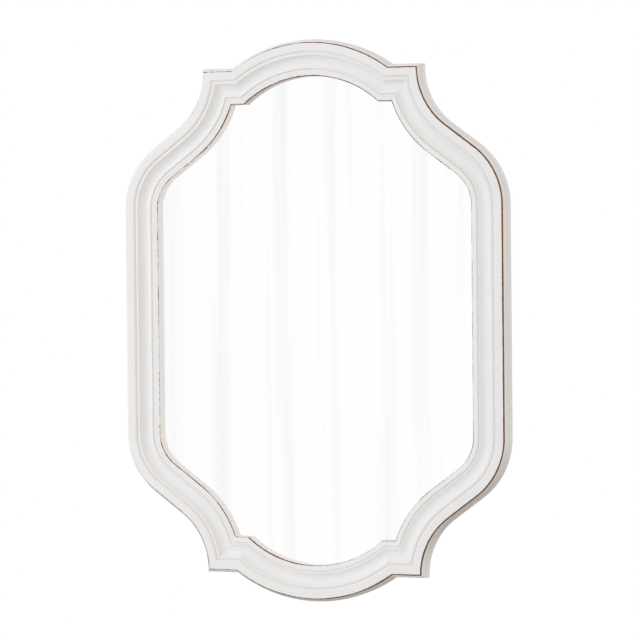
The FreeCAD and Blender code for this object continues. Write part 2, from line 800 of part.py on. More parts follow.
# Bumpers: one behind each ledge, standing on the wall
def makeBumper():
    body = newBody("bumper")
    high, wide, edge = dim["bumper_height"], dim["bumper_radius"], dim["bumper_edge_round"]
    corners = [(nought, nought), (nought, wide), (high - edge, wide), (high, wide - edge), (high, nought)]
    revolve(body, drawOutline(newSketch(body, "section", "YZ_Plane"), corners, {2: (edge, 1)}))
    return body


bumper = makeBumper()
bumperUp = ledgeHeight - dim["bumper_inset"]
bumperAcross = (archMitre(dim["bumper_inset"])[0] + shoulderMitre(dim["bumper_inset"])[0]) / 2
bumpers = []
corners = (("upper_left", -1, 1), ("upper_right", 1, 1), ("lower_left", -1, -1), ("lower_right", 1, -1))
for name, across, up in corners:
    copy = doc.addObject("App::Link", name + "_bumper")
    copy.LinkedObject = bumper
    place(copy, across * bumperAcross, backPlane, up * bumperUp, "LinkPlacement")
    bumpers.append(copy)
pieces.append(group("wall_bumpers", bumpers))

doc.recompute()
for thing in doc.Objects:
    if "Invalid" in thing.State or "Error" in thing.State:
        raise RuntimeError("%s failed: %s" % (thing.Label, thing.State))
for piece in pieces:
    if piece.Shape.isNull() or not piece.Shape.isValid():
        raise RuntimeError("%s has no valid shape" % piece.Label)
os.makedirs("parts", exist_ok=True)
for piece in pieces:
    piece.Shape.exportStep("parts/%s.step" % piece.Label)
    print(piece.Label, len(piece.Shape.Solids), "solids", round(piece.Shape.Volume, 1))
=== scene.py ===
import bmesh
import bpy
import math
from mathutils import Matrix, Vector


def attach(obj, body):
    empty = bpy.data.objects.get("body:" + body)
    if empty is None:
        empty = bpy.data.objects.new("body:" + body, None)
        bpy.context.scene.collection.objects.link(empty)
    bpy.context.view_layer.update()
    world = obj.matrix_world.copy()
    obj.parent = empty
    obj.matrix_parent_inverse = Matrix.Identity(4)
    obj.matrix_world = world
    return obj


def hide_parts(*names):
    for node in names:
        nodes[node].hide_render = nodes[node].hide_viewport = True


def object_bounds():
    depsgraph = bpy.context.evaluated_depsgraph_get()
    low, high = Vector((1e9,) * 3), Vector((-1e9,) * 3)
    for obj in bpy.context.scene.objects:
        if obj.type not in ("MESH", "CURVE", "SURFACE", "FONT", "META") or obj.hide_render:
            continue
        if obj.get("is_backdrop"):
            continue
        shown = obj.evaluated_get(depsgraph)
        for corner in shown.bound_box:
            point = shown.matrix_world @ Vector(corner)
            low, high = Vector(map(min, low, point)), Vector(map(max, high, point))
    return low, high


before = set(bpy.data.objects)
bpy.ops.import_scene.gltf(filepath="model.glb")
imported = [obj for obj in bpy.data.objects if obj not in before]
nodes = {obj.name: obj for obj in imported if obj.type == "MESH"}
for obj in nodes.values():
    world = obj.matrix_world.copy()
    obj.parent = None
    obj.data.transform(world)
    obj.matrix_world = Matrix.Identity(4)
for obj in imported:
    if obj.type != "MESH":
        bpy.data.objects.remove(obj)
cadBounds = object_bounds()
print("frame loaded:", len(nodes), "nodes")

mm = 0.001


def hexColour(code, alpha=1.0):
    channels = [int(code[i:i + 2], 16) / 255 for i in (1, 3, 5)]
    return [c / 12.92 if c <= 0.04045 else ((c + 0.055) / 1.055) ** 2.4 for c in channels] + [alpha]


# adds one node, sets its properties, and fills or links its inputs
def addNode(tree, kind, inputs=None, **settings):
    node = tree.nodes.new(kind)
    for name, value in settings.items():
        setattr(node, name, value)
    for socket, value in (inputs or {}).items():
        if isinstance(value, bpy.types.NodeSocket):
            tree.links.new(value, node.inputs[socket])
        else:
            node.inputs[socket].default_value = value
    return node


# an empty material with its surface shader, and the object's own coordinates in metres
def newMaterial(name, shaderInputs):
    material = bpy.data.materials.new(name)
    material.use_nodes = True
    tree = material.node_tree
    tree.nodes.clear()
    shader = addNode(tree, "ShaderNodeBsdfPrincipled", shaderInputs)
    addNode(tree, "ShaderNodeOutputMaterial", {"Surface": shader.outputs["BSDF"]})
    place = addNode(tree, "ShaderNodeTexCoord").outputs["Object"]
    return material, tree, shader, place


def perMetre(sizeInMm):
    return 1 / (sizeInMm * mm)


moulding = {
    "halfWidth": 325.0,          # front edge of the frame, mm
    "halfHeight": 452.0,
    "ledgeOuterShare": 0.5655,   # shares of the half width and half height
    "ledgeInnerShare": 0.4135,
    "ledgeHeightShare": 0.9035,
    "straightShare": 0.4105,
    "shoulderShare": 0.95,       # share of the radius at which a shoulder's two arcs would meet directly
    "front": -19.5,              # y of the front face, mm
    "depth": 33.0,
    "flare": 5.0,
    "flareDepth": 16.0,
    "rearRound": 4.0,
    "ease": 1.2,
    "band": (13.6, 0.0),         # inset and depth of the face's corners, from the outer edge inwards, mm
    "outerGroove": (16.2, 2.8),
    "fillet": (19.2, 0.9),
    "coveTop": (20.7, 0.9),
    "coveFoot": (41.6, 5.2),
    "innerGroove": (43.8, 7.8),
    "innerBand": (46.6, 6.2),
    "sightDepth": 7.3,
    "coveHollow": 5.0,
    "rebateFloor": 19.4,
    "rebateWall": 46.5,
    "width": 54.5,
    "softArris": 0.8,            # how far the paint rounds an edge, mm
    "softGroove": 0.35,
    "softBack": 0.4,
    "softShare": 0.47,           # share of the way to the next corner that a rounding may take up
    "arrisReach": 2.2,           # how far from its edge a rubbed line can spread, mm
    "grooveReach": 0.5,
    "lipLine": 0.4,              # how far behind the sight edge the lip's own rubbed line lies, mm
    "rearSideShade": 0.09,           # share of painted shade towards the back of the outer side, drawn in the glaze colour
    "rearSideShadeShare": 0.5,           # share of the flare beyond which that painted shade lies
    "sprayReach": 10.0,          # how far overspray reaches in over the back, mm
    "sprayShare": 0.5,           # share of that reach that is coated most
    "sprayEdge": 0.68,           # how bare the back is at its outer edge, from 0 to 1
    "touch": 0.1,                # how near a face a point counts as lying on it, mm
    "rearTouch": 0.2,
    "glueLine": 0.6,             # width of half a glue line at a mitre, mm
    "sharpAngle": 40.0,          # degrees, from which an edge is shaded sharp
    "softSteps": 4,
    "arcSteps": 16,
    "archSteps": 96,
    "ledgeSteps": 10,
    "curveSteps": 26,
    "slopeSteps": 10,
    "straightSteps": 36,
}

# how far the paint is rubbed through along each run, left to right, or top to bottom on the stiles:
# on the outer edge, the sight edge and the lip behind it;
# how strongly painted shade darkens the outer side and the lip where they face down;
# and how much glaze with painted shade lies in the outer and the inner groove
rubbingAndShade = {
    # the top arch's strong rubbing on the sight edge and the lip is partly wear and partly painted shade
    # where they face down
    "top_arch": {
        "outer": [0.55, 0.68, 0.9, 1.15, 1.25], "inner": [0.9, 0.92, 0.98, 0.98, 0.95],
        "lip": [0.9, 0.9, 0.7, 0.3], "undersideShade": (1.0, 0.8), "glazeAndShade": (0.3, 0.3)},
    "bottom_arch": {
        "outer": [0.95, 1.0, 1.1, 1.3, 1.4], "inner": [1.5, 1.3, 0.8, 0.68, 0.68],
        "lip": [0.2, 0.2], "undersideShade": (1.0, 0.0), "glazeAndShade": (0.3, 0.3)},
    "upper_left_ledge": {
        "outer": [0.7, 0.68], "inner": [0.9, 0.9],
        "lip": [0.6, 0.6], "undersideShade": (0.3, 0.6), "glazeAndShade": (0.3, 0.3)},
    "upper_right_ledge": {
        "outer": [1.2, 1.3], "inner": [0.85, 0.85],
        "lip": [0.2, 0.2], "undersideShade": (0.3, 0.6), "glazeAndShade": (0.3, 0.3)},
    "lower_left_ledge": {
        "outer": [0.72, 0.72], "inner": [0.85, 0.85],
        "lip": [0.2, 0.2], "undersideShade": (0.3, 0.0), "glazeAndShade": (0.3, 0.3)},
    "lower_right_ledge": {
        "outer": [1.4, 1.4], "inner": [0.78, 0.78],
        "lip": [0.2, 0.2], "undersideShade": (0.3, 0.0), "glazeAndShade": (0.3, 0.3)},
    "left_stile": {
        "outer": [0.6, 0.5, 0.3, 0.4, 0.8, 0.9], "inner": [0.8, 0.68, 0.6, 0.62, 0.95, 0.8],
        "lip": [0.7, 0.4, 0.2, 0.2], "undersideShade": (1.0, 0.0), "glazeAndShade": (0.5, 0.3)},
    "right_stile": {
        "outer": [1.4, 1.5, 1.5, 1.5, 1.6], "inner": [1.1, 0.95, 0.74, 0.74, 0.74, 0.74, 0.76],
        "lip": [0.2, 0.2], "undersideShade": (1.0, 0.3), "glazeAndShade": (0.4, 1.0)},
}

halfWidth, halfHeight = moulding["halfWidth"], moulding["halfHeight"]
ledgeOuter = halfWidth * moulding["ledgeOuterShare"]
ledgeInner = halfWidth * moulding["ledgeInnerShare"]
ledgeHeight = halfHeight * moulding["ledgeHeightShare"]
straightHalf = halfHeight * moulding["straightShare"]
archRise = halfHeight - ledgeHeight
archRadius = (ledgeInner ** 2 + archRise ** 2) / (2 * archRise)
archCentre = halfHeight - archRadius
shoulderAcross, shoulderUp = halfWidth - ledgeOuter, ledgeHeight - straightHalf
shoulderRadius = moulding["shoulderShare"] * (shoulderAcross ** 2 + shoulderUp ** 2) / (4 * shoulderAcross)
hollowCentre = Vector((ledgeOuter + shoulderRadius, ledgeHeight))
roundCentre = Vector((halfWidth - shoulderRadius, straightHalf))
between = hollowCentre - roundCentre
slopeAngle = math.atan2(between.y, between.x) - math.acos(2 * shoulderRadius / between.length)


def archMitre(inset):
    return math.sqrt((archRadius - inset) ** 2 - (ledgeHeight - inset - archCentre) ** 2)


def shoulderMitre(inset):
    return hollowCentre.x - math.sqrt((shoulderRadius + inset) ** 2 - inset ** 2)


def steps(count):
    return [i / count for i in range(count + 1)]


# the runs give the points of the top arch, the upper right ledge and the right stile at an inset
def archRun(inset):
    reach = math.atan2(archMitre(inset), ledgeHeight - inset - archCentre)
    for k in steps(moulding["archSteps"]):
        angle = reach * (2 * k - 1)
        yield (archRadius - inset) * math.sin(angle), archCentre + (archRadius - inset) * math.cos(angle)


def ledgeRun(inset):
    start, end = archMitre(inset), shoulderMitre(inset)
    for k in steps(moulding["ledgeSteps"]):
        yield start + (end - start) * k, ledgeHeight - inset


def stileRun(inset):
    first = math.asin(inset / (shoulderRadius + inset))
    slopeWay = Vector((math.cos(slopeAngle), math.sin(slopeAngle)))
    upper = []
    for k in steps(moulding["curveSteps"]):
        angle = first + (slopeAngle - first) * k
        upper.append(hollowCentre - (shoulderRadius + inset) * Vector((math.cos(angle), math.sin(angle))))
    slopeFoot = roundCentre + (shoulderRadius - inset) * slopeWay
    upper += [upper[-1].lerp(slopeFoot, k) for k in steps(moulding["slopeSteps"])[1:]]
    for k in steps(moulding["curveSteps"])[1:]:
        angle = slopeAngle * (1 - k)
        upper.append(roundCentre + (shoulderRadius - inset) * Vector((math.cos(angle), math.sin(angle))))
    side = halfWidth - inset
    straight = [Vector((side, straightHalf * (1 - 2 * k))) for k in steps(moulding["straightSteps"])[1:]]
    lower = [Vector((point.x, -point.y)) for point in reversed(upper[:-1])]
    for point in upper + straight + lower:
        yield point.x, point.y


# the points of an arc between two ends, without the ends
def arcBetween(start, end, radius, side):
    chord = end - start
    normal = Vector((-chord.y, chord.x)).normalized() * side
    centre = (start + end) / 2 - normal * math.sqrt(radius ** 2 - (chord.length / 2) ** 2)
    first = math.atan2(start.y - centre.y, start.x - centre.x)
    sweep = (math.atan2(end.y - centre.y, end.x - centre.x) - first + math.pi) % (2 * math.pi) - math.pi
    return [centre + radius * Vector((math.cos(first + sweep * k), math.sin(first + sweep * k)))
            for k in steps(moulding["arcSteps"])[1:-1]]


# the section as (inset, depth) points, its corners rounded as paint rounds them
def mouldingSection():
    ease, width, depth = moulding["ease"], moulding["width"], moulding["depth"]
    wall, floor, flare = moulding["rebateWall"], moulding["rebateFloor"], moulding["flare"]
    rear, sight = moulding["rearRound"], moulding["sightDepth"]
    arris, groove, back = moulding["softArris"], moulding["softGroove"], moulding["softBack"]
    reach, softShare = moulding["arrisReach"], moulding["softShare"]
    coveChord = (Vector(moulding["coveFoot"]) - Vector(moulding["coveTop"])).length
    coveRadius = (coveChord ** 2 / 4 + moulding["coveHollow"] ** 2) / (2 * moulding["coveHollow"])
    flareRun = moulding["flareDepth"] - ease
    flareRadius = (flare ** 2 + flareRun ** 2) / (2 * flare)
    # each corner with its rounding, and the radius and side of an arc that leaves it
    corners = [
        ((ease, 0.0), arris, None), ((ease + reach, 0.0), 0.0, None), (moulding["band"], groove, None),
        (moulding["outerGroove"], groove, None), (moulding["fillet"], groove, None),
        (moulding["coveTop"], groove, (coveRadius, 1)), (moulding["coveFoot"], groove, None),
        (moulding["innerGroove"], groove, None), (moulding["innerBand"], groove, None),
        ((width - ease - reach, sight), 0.0, None), ((width - ease, sight), arris, None),
        ((width, sight + ease), arris, None), ((width, sight + ease + reach), 0.0, None),
        ((width, floor), 0.0, None), ((wall, floor), 0.0, None), ((wall, depth), back, None),
        ((moulding["sprayReach"], depth), 0.0, None), ((rear - flare, depth), back, (rear, -1)),
        ((-flare, depth - rear), back, None), ((-flare, moulding["flareDepth"]), back, (flareRadius, -1)),
        ((0.0, ease), arris, None),
    ]
    raw = []
    for i, (corner, softness, arc) in enumerate(corners):
        here, after = Vector(corner), Vector(corners[(i + 1) % len(corners)][0])
        raw.append((here, softness))
        if arc:
            raw += [(point, 0.0) for point in arcBetween(here, after, *arc)]
    points = []
    for i, (here, softness) in enumerate(raw):
        before, after = raw[i - 1][0], raw[(i + 1) % len(raw)][0]
        if not softness:
            points.append(here)
            continue
        start = here + (before - here).normalized() * min(softness, softShare * (before - here).length)
        end = here + (after - here).normalized() * min(softness, softShare * (after - here).length)
        points += [start.lerp(here, k).lerp(here.lerp(end, k), k) for k in steps(moulding["softSteps"])]
    return points


section = mouldingSection()
arrisMiddle = moulding["ease"] / 2
lipLine = moulding["sightDepth"] + moulding["ease"] + moulding["lipLine"]
rubbedLines = {
    "outer": (arrisMiddle, arrisMiddle),
    "inner": (moulding["width"] - arrisMiddle, moulding["sightDepth"] + arrisMiddle),
    "lip": (moulding["width"], lipLine),
}
# values painted onto the vertices: wear, glaze with painted shade, bareness, painted lip light, painted
# underside shade and glue lines
wearAndLightNames = ("rubbed", "glazedAndShaded", "bareBack", "bounceLitLip", "undersideShadeMask", "glueLine")


# how near a point of the section lies to a line, from 1 on it to 0 at its reach
def nearness(point, line, reach):
    return max(0.0, 1.0 - (point - Vector(line)).length / reach)


# the value of a list of knots at a share of the way along it
def along(knots, share):
    spot = share * (len(knots) - 1)
    i = min(int(spot), len(knots) - 2)
    return knots[i] + (knots[i + 1] - knots[i]) * (spot - i)


# the wear, painted shade and painted lip light at a point of the section, in the order of their names, at a
# share of the way along the run
def wearAndLightAt(point, rubAndShade, way, atMitre):
    width, touch = moulding["width"], moulding["touch"]
    rubbed = max(along(rubAndShade[name], way) * nearness(point, line, moulding["arrisReach"])
                 for name, line in rubbedLines.items())
    inGroove = max(share * nearness(point, moulding[name], moulding["grooveReach"])
                   for name, share in zip(("outerGroove", "innerGroove"), rubAndShade["glazeAndShade"]))
    onRearSide = point.x < -moulding["rearSideShadeShare"] * moulding["flare"]
    inRebate = point.y > moulding["rebateFloor"] - touch and 0.0 < point.x < width - touch
    onRear = point.y > moulding["depth"] - moulding["rearTouch"]
    pastSpray = point.x > moulding["sprayShare"] * moulding["sprayReach"]
    bare = 1.0 if inRebate else (1.0 if pastSpray else moulding["sprayEdge"]) * onRear
    # glaze with painted shade in the grooves, and painted shade towards the back of the outer side
    glazedAndShaded = max(inGroove, moulding["rearSideShade"] * onRearSide)
    # the lip is painted lighter as bounce light from the glass
    onLip = float(point.x > width - touch)
    # painted shade on the outer side and the lip where they face down
    shadeSide, shadeLip = rubAndShade["undersideShade"]
    undersideShade = shadeSide if point.x < touch else shadeLip * onLip
    return rubbed, glazedAndShaded, bare, onLip, undersideShade, float(onRear and atMitre)


# a run's points at an inset, with one more a glue line's width from each end
def jointedRun(run, inset):
    points = [Vector(point) for point in run(inset)]
    first = points[0] + (points[1] - points[0]).normalized() * moulding["glueLine"]
    last = points[-1] + (points[-2] - points[-1]).normalized() * moulding["glueLine"]
    return [points[0], first] + points[1:-1] + [last, points[-1]]


def makeMoulding(node, run, mirrorX, mirrorZ, material):
    columns = [jointedRun(run, point.x) for point in section]
    count, rows = len(columns[0]), len(section)
    mesh = bpy.data.meshes.new(node + "_moulding")
    work = bmesh.new()
    layers = [work.verts.layers.float.new(name) for name in wearAndLightNames]
    grid = []
    for j in range(count):
        way = j / (count - 1)
        if mirrorX < 0 and run is ledgeRun:
            way = 1 - way
        ring = []
        for point, column in zip(section, columns):
            x, z = column[j]
            vertex = work.verts.new((x * mirrorX * mm, (moulding["front"] + point.y) * mm, z * mirrorZ * mm))
            for layer, value in zip(layers, wearAndLightAt(point, rubbingAndShade[node], way, j in (0, count - 1))):
                vertex[layer] = value
            ring.append(vertex)
        grid.append(ring)
    for j in range(count - 1):
        for i in range(rows):
            k = (i + 1) % rows
            work.faces.new((grid[j][i], grid[j][k], grid[j + 1][k], grid[j + 1][i]))
    work.faces.new(grid[0])
    work.faces.new(list(reversed(grid[-1])))
    bmesh.ops.recalc_face_normals(work, faces=work.faces)
    for face in work.faces:
        face.smooth = True
    work.to_mesh(mesh)
    work.free()
    mesh.set_sharp_from_angle(angle=math.radians(moulding["sharpAngle"]))
    mesh.materials.append(material)
    piece = bpy.data.objects.new(node + "_moulding", mesh)
    bpy.context.scene.collection.objects.link(piece)
    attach(piece, "frame")
    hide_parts(node)


# Sprayed satin paint on fibreboard: an even off-white skin with a faint sprayed grain, sanded through
# to a brown base coat on the edges, a little glaze with painted shade in the grooves, painted shade where
# faces look down and towards the back of the outer side, a lip painted lighter as bounce light from the
# glass, and raw brown board behind with overspray.
paint = {
    "colour": "#ecebeb",
    "shade": "#e7e6e5",
    # painted bounce light from the glass on the lip
    "lipBounceLight": "#fbf9f7",
    # painted shade on faces that look down
    "undersideShade": "#c4c0ba",
    # glaze with painted shade in the grooves and towards the back of the outer side
    "glazeAndShade": "#c2b8a9",
    "baseCoat": "#875330",
    "baseCoatDark": "#452a1e",
    "board": "#b8966d",
    "boardDark": "#987650",
    "glueLine": "#6b5238",
    "ior": 1.5,
    "roughness": 0.42,
    "dullRoughness": 0.75,
    "chipShare": 0.6,     # how much chips and slow swelling break up a rubbed edge
    "wanderShare": 0.6,
    "filmDepth": 1.5,     # how deep the rubbed paint lies, against the height of the sprayed grain
    "bump": 0.12,
    "bumpDepth": 0.2,     # mm
    "cloud": 60.0,        # mm, drift of the sprayed coat
    "grain": 1.6,         # mm, sprayed grain, drawn coarser than the real 0.3 so that it shows
    "chip": 5.0,          # mm, length of a chip along an edge
    "wander": 38.0,       # mm, how often the rubbing swells and fades
    "fibre": 2.5,         # mm, fibre flecks of the raw board
    "overspray": 14.0,    # mm, drift of the overspray on the back
    "sprayDrift": 0.6,    # how unevenly the overspray ends
    "details": {"cloud": 3.0, "grain": 2.0, "chip": 4.0, "wander": 2.0, "fibre": 5.0, "overspray": 6.0},
    # each pair of limits is where a change begins and where it is complete
    "undersideShadeLimits": (-0.05, -0.7),      # z of a face's normal, as the painted shade on faces that look down sets in
    "wornLimits": (0.46, 0.62),       # rubbing, as the paint goes through
    "edgeLimits": (0.02, 0.12),       # rubbing, as the flat face becomes an edge
    "facingLimits": (-0.75, -0.98),   # y of a face's normal, as the base coat darkens
    "bareLimits": (0.65, 1.24),       # bareness and drift together, as the overspray ends
}


def makePaint():
    material, tree, shader, place = newMaterial("satin_paint_on_fibreboard", {"IOR": paint["ior"]})
    rubbed, glazedAndShaded, bare, lip, undersideShaded, glued = [
        addNode(tree, "ShaderNodeAttribute", attribute_name=name).outputs["Fac"] for name in wearAndLightNames]
    cloud, grain, chip, wander, fibre, spray = [
        addNode(tree, "ShaderNodeTexNoise", {"Vector": place, "Scale": perMetre(paint[name]),
                                             "Detail": detail}).outputs["Fac"]
        for name, detail in paint["details"].items()]
    # the skin, painted lighter on the lip as bounce light from the glass
    skin = addNode(tree, "ShaderNodeMixRGB", {"Fac": cloud, "Color1": hexColour(paint["colour"]),
                                              "Color2": hexColour(paint["shade"])}).outputs["Color"]
    skin = addNode(tree, "ShaderNodeMixRGB", {"Fac": lip, "Color1": skin,
                                              "Color2": hexColour(paint["lipBounceLight"])}).outputs["Color"]
    # painted shade where the outer side and the lip face down, and glaze with painted shade in the grooves
    # and towards the back of the outer side
    normal = addNode(tree, "ShaderNodeNewGeometry").outputs["True Normal"]
    normal = addNode(tree, "ShaderNodeSeparateXYZ", {"Vector": normal}).outputs
    level, steep = paint["undersideShadeLimits"]
    undersideShade = addNode(tree, "ShaderNodeMapRange", {"Value": normal["Z"], "From Min": level,
                                                "From Max": steep}).outputs["Result"]
    undersideShade = addNode(tree, "ShaderNodeMath", {0: undersideShade, 1: undersideShaded}, operation="MULTIPLY").outputs[0]
    skin = addNode(tree, "ShaderNodeMixRGB", {"Fac": undersideShade, "Color1": skin,
                                              "Color2": hexColour(paint["undersideShade"])}).outputs["Color"]
    skin = addNode(tree, "ShaderNodeMixRGB", {"Fac": glazedAndShaded, "Color1": skin,
                                              "Color2": hexColour(paint["glazeAndShade"])}).outputs["Color"]
    # the rubbed edge: its strength swells, fades and chips along the run
    worn = addNode(tree, "ShaderNodeMath", {0: chip, 1: paint["chipShare"], 2: rubbed},
                   operation="MULTIPLY_ADD").outputs[0]
    worn = addNode(tree, "ShaderNodeMath", {0: wander, 1: paint["wanderShare"], 2: worn},
                   operation="MULTIPLY_ADD").outputs[0]
    drift = (paint["chipShare"] + paint["wanderShare"]) / 2    # what the two patterns add on average
    begun, through = paint["wornLimits"]
    worn = addNode(tree, "ShaderNodeMapRange", {"Value": worn, "From Min": begun + drift,
                                                "From Max": through + drift},
                   interpolation_type="SMOOTHSTEP").outputs["Result"]
    off, on = paint["edgeLimits"]
    onEdge = addNode(tree, "ShaderNodeMapRange", {"Value": rubbed, "From Min": off,
                                                  "From Max": on}).outputs["Result"]
    worn = addNode(tree, "ShaderNodeMath", {0: worn, 1: onEdge}, operation="MULTIPLY").outputs[0]
    # the base coat is darker where the edge turns to the front
    turning, turned = paint["facingLimits"]
    facing = addNode(tree, "ShaderNodeMapRange", {"Value": normal["Y"], "From Min": turning,
                                                  "From Max": turned}).outputs["Result"]
    brown = addNode(tree, "ShaderNodeMixRGB", {"Fac": facing, "Color1": hexColour(paint["baseCoat"]),
                                               "Color2": hexColour(paint["baseCoatDark"])}).outputs["Color"]
    front = addNode(tree, "ShaderNodeMixRGB", {"Fac": worn, "Color1": skin,
                                               "Color2": brown}).outputs["Color"]
    # raw board behind, under a drift of overspray
    board = addNode(tree, "ShaderNodeMixRGB", {"Fac": fibre, "Color1": hexColour(paint["board"]),
                                               "Color2": hexColour(paint["boardDark"])}).outputs["Color"]
    board = addNode(tree, "ShaderNodeMixRGB", {"Fac": glued, "Color1": board,
                                               "Color2": hexColour(paint["glueLine"])}).outputs["Color"]
    sprayed = addNode(tree, "ShaderNodeMath", {0: spray, 1: paint["sprayDrift"], 2: bare},
                      operation="MULTIPLY_ADD").outputs[0]
    ending, ended = paint["bareLimits"]
    bareShare = addNode(tree, "ShaderNodeMapRange", {"Value": sprayed, "From Min": ending,
                                                     "From Max": ended},
                        interpolation_type="SMOOTHSTEP").outputs["Result"]
    colour = addNode(tree, "ShaderNodeMixRGB", {"Fac": bareShare, "Color1": front,
                                                "Color2": board}).outputs["Color"]
    dull = addNode(tree, "ShaderNodeMath", {0: worn, 1: bareShare}, operation="MAXIMUM").outputs[0]
    roughness = addNode(tree, "ShaderNodeMapRange", {"Value": dull, "To Min": paint["roughness"],
                                                     "To Max": paint["dullRoughness"]}).outputs["Result"]
    height = addNode(tree, "ShaderNodeMath", {0: worn, 1: -paint["filmDepth"], 2: grain},
                     operation="MULTIPLY_ADD").outputs[0]
    bump = addNode(tree, "ShaderNodeBump", {"Height": height, "Strength": paint["bump"],
                                            "Distance": paint["bumpDepth"] * mm}).outputs["Normal"]
    for socket, value in (("Base Color", colour), ("Roughness", roughness), ("Normal", bump)):
        tree.links.new(value, shader.inputs[socket])
    return material


paintedBoard = makePaint()
makeMoulding("top_arch", archRun, 1, 1, paintedBoard)
makeMoulding("bottom_arch", archRun, 1, -1, paintedBoard)
for across, hand in ((-1, "left"), (1, "right")):
    makeMoulding(hand + "_stile", stileRun, across, 1, paintedBoard)
    makeMoulding("upper_%s_ledge" % hand, ledgeRun, across, 1, paintedBoard)
    makeMoulding("lower_%s_ledge" % hand, ledgeRun, across, -1, paintedBoard)
print("moulding: eight painted runs,", len(section), "points round the section")


def dress(node, material):
    nodes[node].data.materials.clear()
    nodes[node].data.materials.append(material)


# Silvered float glass: a flat plate that gives a clean white reflection with a breath of haze.
mirrorGlass = {
    "silver": "#fefefe",
    "haze": 120.0,        # mm, drift of the haze
    "hazeDetail": 4.0,
    "clearest": 0.004,    # roughness
    "haziest": 0.02,
}


def makeMirrorGlass():
    material, tree, shader, place = newMaterial(
        "silvered_float_glass", {"Base Color": hexColour(mirrorGlass["silver"]), "Metallic": 1.0})
    haze = addNode(tree, "ShaderNodeTexNoise", {"Vector": place, "Scale": perMetre(mirrorGlass["haze"]),
                                                "Detail": mirrorGlass["hazeDetail"]}).outputs["Fac"]
    roughness = addNode(tree, "ShaderNodeMapRange", {"Value": haze, "To Min": mirrorGlass["clearest"],
                                                     "To Max": mirrorGlass["haziest"]})
    tree.links.new(roughness.outputs["Result"], shader.inputs["Roughness"])
    return material


dress("mirror_glass", makeMirrorGlass())
print("glass silvered")

# Hardboard: pressed brown fibre with a smooth face, mottled and flecked.
hardboard = {
    "colour": "#6e4d35",
    "dark": "#4f3524",
    "fleck": "#8d6a4b",
    "mottle": 45.0,       # mm
    "mottleDetail": 5.0,
    "fibre": 1.8,         # mm, flecks drawn about twice their real length so that they show
    "fibreDetail": 6.0,
    "fibreSpread": 0.7,
    "fleckLimits": (0.56, 0.7),
    "roughness": 0.5,
    "bump": 0.2,
    "bumpDepth": 0.1,     # mm
}


def makeHardboard():
    material, tree, shader, place = newMaterial(
        "hardboard_smooth_face", {"Roughness": hardboard["roughness"]})
    mottle = addNode(tree, "ShaderNodeTexNoise", {"Vector": place, "Scale": perMetre(hardboard["mottle"]),
                                                  "Detail": hardboard["mottleDetail"]}).outputs["Fac"]
    fibre = addNode(tree, "ShaderNodeTexNoise", {"Vector": place, "Scale": perMetre(hardboard["fibre"]),
                                                 "Detail": hardboard["fibreDetail"],
                                                 "Roughness": hardboard["fibreSpread"]}).outputs["Fac"]
    ground = addNode(tree, "ShaderNodeMixRGB", {"Fac": mottle, "Color1": hexColour(hardboard["colour"]),
                                                "Color2": hexColour(hardboard["dark"])}).outputs["Color"]
    faint, full = hardboard["fleckLimits"]
    flecks = addNode(tree, "ShaderNodeMapRange", {"Value": fibre, "From Min": faint,
                                                  "From Max": full}).outputs["Result"]
    colour = addNode(tree, "ShaderNodeMixRGB", {"Fac": flecks, "Color1": ground,
                                                "Color2": hexColour(hardboard["fleck"])})
    bump = addNode(tree, "ShaderNodeBump", {"Height": fibre, "Strength": hardboard["bump"],
                                            "Distance": hardboard["bumpDepth"] * mm})
    tree.links.new(colour.outputs["Color"], shader.inputs["Base Color"])
    tree.links.new(bump.outputs["Normal"], shader.inputs["Normal"])
    return material


dress("backing_board", makeHardboard())

# Corrugated card: dull brown paper with faint flutes under the face.
card = {
    "colour": "#b08a5e",
    "dark": "#95724b",
    "flute": 7.0,         # mm
    "waver": 0.4,         # how far the flutes stray from straight
    "roughness": 0.85,
}


def makeCard():
    material, tree, shader, place = newMaterial("corrugated_card", {"Roughness": card["roughness"]})
    scale = perMetre(card["flute"]) / (2 * math.pi)
    flutes = addNode(tree, "ShaderNodeTexWave", {"Vector": place, "Scale": scale,
                                                 "Distortion": card["waver"]}).outputs["Fac"]
    colour = addNode(tree, "ShaderNodeMixRGB", {"Fac": flutes, "Color1": hexColour(card["colour"]),
                                                "Color2": hexColour(card["dark"])})
    tree.links.new(colour.outputs["Color"], shader.inputs["Base Color"])
    return material


packingCard = makeCard()
for name in ("front_packing_card", "rear_packing_card"):
    dress(name, packingCard)

# Pressed beech: pale pinkish wood with short dark flecks.
beech = {
    "colour": "#c89f74",
    "fleck": "#a87c52",
    "grain": 1.2,         # mm
    "grainDetail": 3.0,
    "roughness": 0.6,
}


def makeBeech():
    material, tree, shader, place = newMaterial("pressed_beech", {"Roughness": beech["roughness"]})
    grain = addNode(tree, "ShaderNodeTexNoise", {"Vector": place, "Scale": perMetre(beech["grain"]),
                                                 "Detail": beech["grainDetail"]}).outputs["Fac"]
    colour = addNode(tree, "ShaderNodeMixRGB", {"Fac": grain, "Color1": hexColour(beech["colour"]),
                                                "Color2": hexColour(beech["fleck"])})
    tree.links.new(colour.outputs["Color"], shader.inputs["Base Color"])
    return material


dress("mitre_biscuits", makeBeech())

# Bright zinc plate on pressed steel: a pale cool metal with a faint cloud and rolling lines.
zinc = {
    "colour": "#ced1d3",
    "dark": "#93989d",
    "cloud": 6.0,         # mm
    "cloudDetail": 4.0,
    "line": 0.5,          # mm, width of a rolling line
    "lineDetail": 2.0,
    "lineStretch": 0.06,  # how slowly the pattern changes upwards, which draws it out into upright lines
    "shiniest": 0.24,     # roughness
    "dullest": 0.42,
}


